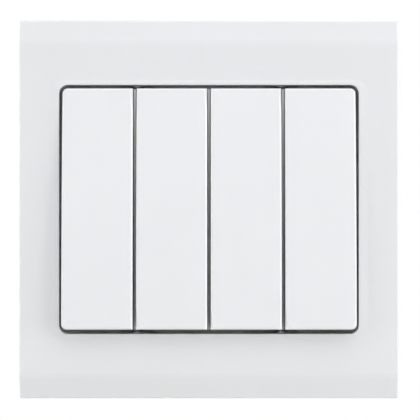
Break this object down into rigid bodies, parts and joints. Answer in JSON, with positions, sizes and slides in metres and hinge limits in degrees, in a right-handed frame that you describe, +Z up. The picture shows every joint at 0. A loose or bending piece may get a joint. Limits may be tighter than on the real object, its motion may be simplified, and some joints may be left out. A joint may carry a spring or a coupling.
{
  "type": "rocker light switch",
  "caption": "Square wall plate with tall rockers side by side, each pressing a sprung plunger that tips a see-saw contact between push-in terminals.",
  "frame": {"origin": "middle of the box screws, on the wall's surface", "axes": "+X right as seen from the room, +Y into the wall, +Z up"},
  "size_m": [0.12, 0.0388, 0.12],
  "materials": {
    "plate_white": "moulded urea plastic, semi-gloss",
    "rocker_white": "moulded plastic, semi-gloss",
    "frame_grey": "moulded plastic, matt",
    "zinc_steel": "bright zinc plate",
    "actuator_grey": "moulded nylon",
    "plunger_white": "moulded acetal",
    "spring_steel": "bright spring steel",
    "contact_bronze": "rolled bronze",
    "silver": "silver alloy",
    "terminal_brass": "folded brass strip",
    "housing_white": "moulded polycarbonate",
    "cover_grey": "moulded polycarbonate"
  },
  "bodies": {
    "root": {"cover_plate": "plate_white", "support_frame": "frame_grey", "box_screws": "zinc_steel", "common_terminal_1": "terminal_brass", "load_terminal_1": "terminal_brass", "fixed_tip_1": "silver", "lock_spring_common_1": "spring_steel", "lock_spring_load_1": "spring_steel", "mechanism_body_1": "housing_white", "bearing_cover_1": "cover_grey", "terminal_cover_1": "cover_grey", "common_terminal_2": "terminal_brass", "load_terminal_2": "terminal_brass", "fixed_tip_2": "silver", "lock_spring_common_2": "spring_steel", "lock_spring_load_2": "spring_steel", "mechanism_body_2": "housing_white", "bearing_cover_2": "cover_grey", "terminal_cover_2": "cover_grey", "common_terminal_3": "terminal_brass", "load_terminal_3": "terminal_brass", "fixed_tip_3": "silver", "lock_spring_common_3": "spring_steel", "lock_spring_load_3": "spring_steel", "mechanism_body_3": "housing_white", "bearing_cover_3": "cover_grey", "terminal_cover_3": "cover_grey", "common_terminal_4": "terminal_brass", "load_terminal_4": "terminal_brass", "fixed_tip_4": "silver", "lock_spring_common_4": "spring_steel", "lock_spring_load_4": "spring_steel", "mechanism_body_4": "housing_white", "bearing_cover_4": "cover_grey", "terminal_cover_4": "cover_grey"},
    "rocker_1": {"rocker_cap_1": "rocker_white", "actuator_1": "actuator_grey", "plunger_spring_1": "spring_steel"},
    "plunger_1": {"plunger_1": "plunger_white"},
    "contact_1": {"moving_contact_1": "contact_bronze", "moving_tip_1": "silver"},
    "rocker_2": {"rocker_cap_2": "rocker_white", "actuator_2": "actuator_grey", "plunger_spring_2": "spring_steel"},
    "plunger_2": {"plunger_2": "plunger_white"},
    "contact_2": {"moving_contact_2": "contact_bronze", "moving_tip_2": "silver"},
    "rocker_3": {"rocker_cap_3": "rocker_white", "actuator_3": "actuator_grey", "plunger_spring_3": "spring_steel"},
    "plunger_3": {"plunger_3": "plunger_white"},
    "contact_3": {"moving_contact_3": "contact_bronze", "moving_tip_3": "silver"},
    "rocker_4": {"rocker_cap_4": "rocker_white", "actuator_4": "actuator_grey", "plunger_spring_4": "spring_steel"},
    "plunger_4": {"plunger_4": "plunger_white"},
    "contact_4": {"moving_contact_4": "contact_bronze", "moving_tip_4": "silver"}
  },
  "joints": [
    {"name": "rocker_1_tilt", "type": "hinge", "parent": "root", "child": "rocker_1", "pos_m": [-0.03516, -0.0055, 0], "axis": [1, 0, 0], "range_deg": [0, 6]},
    {"name": "plunger_1_slide", "type": "slide", "parent": "rocker_1", "child": "plunger_1", "axis": [0, -0.9986, 0.0523], "range_m": [0, 0.0015], "stiffness_N_per_m": 400, "springref_m": -0.002, "deforming": ["plunger_spring_1"]},
    {"name": "contact_1_tilt", "type": "hinge", "parent": "root", "child": "contact_1", "pos_m": [-0.03516, 0.0089, 0], "axis": [1, 0, 0], "range_deg": [-12, 0]},
    {"name": "rocker_2_tilt", "type": "hinge", "parent": "root", "child": "rocker_2", "pos_m": [-0.01172, -0.0055, 0], "axis": [1, 0, 0], "range_deg": [0, 6]},
    {"name": "plunger_2_slide", "type": "slide", "parent": "rocker_2", "child": "plunger_2", "axis": [0, -0.9986, 0.0523], "range_m": [0, 0.0015], "stiffness_N_per_m": 400, "springref_m": -0.002, "deforming": ["plunger_spring_2"]},
    {"name": "contact_2_tilt", "type": "hinge", "parent": "root", "child": "contact_2", "pos_m": [-0.01172, 0.0089, 0], "axis": [1, 0, 0], "range_deg": [-12, 0]},
    {"name": "rocker_3_tilt", "type": "hinge", "parent": "root", "child": "rocker_3", "pos_m": [0.01172, -0.0055, 0], "axis": [1, 0, 0], "range_deg": [0, 6]},
    {"name": "plunger_3_slide", "type": "slide", "parent": "rocker_3", "child": "plunger_3", "axis": [0, -0.9986, 0.0523], "range_m": [0, 0.0015], "stiffness_N_per_m": 400, "springref_m": -0.002, "deforming": ["plunger_spring_3"]},
    {"name": "contact_3_tilt", "type": "hinge", "parent": "root", "child": "contact_3", "pos_m": [0.01172, 0.0089, 0], "axis": [1, 0, 0], "range_deg": [-12, 0]},
    {"name": "rocker_4_tilt", "type": "hinge", "parent": "root", "child": "rocker_4", "pos_m": [0.03516, -0.0055, 0], "axis": [1, 0, 0], "range_deg": [0, 6]},
    {"name": "plunger_4_slide", "type": "slide", "parent": "rocker_4", "child": "plunger_4", "axis": [0, -0.9986, 0.0523], "range_m": [0, 0.0015], "stiffness_N_per_m": 400, "springref_m": -0.002, "deforming": ["plunger_spring_4"]},
    {"name": "contact_4_tilt", "type": "hinge", "parent": "root", "child": "contact_4", "pos_m": [0.03516, 0.0089, 0], "axis": [1, 0, 0], "range_deg": [-12, 0]}
  ],
  "couplings": [
    {"joint": "contact_1_tilt", "follows": "rocker_1_tilt", "ratio": -2},
    {"joint": "contact_2_tilt", "follows": "rocker_2_tilt", "ratio": -2},
    {"joint": "contact_3_tilt", "follows": "rocker_3_tilt", "ratio": -2},
    {"joint": "contact_4_tilt", "follows": "rocker_4_tilt", "ratio": -2}
  ]
}
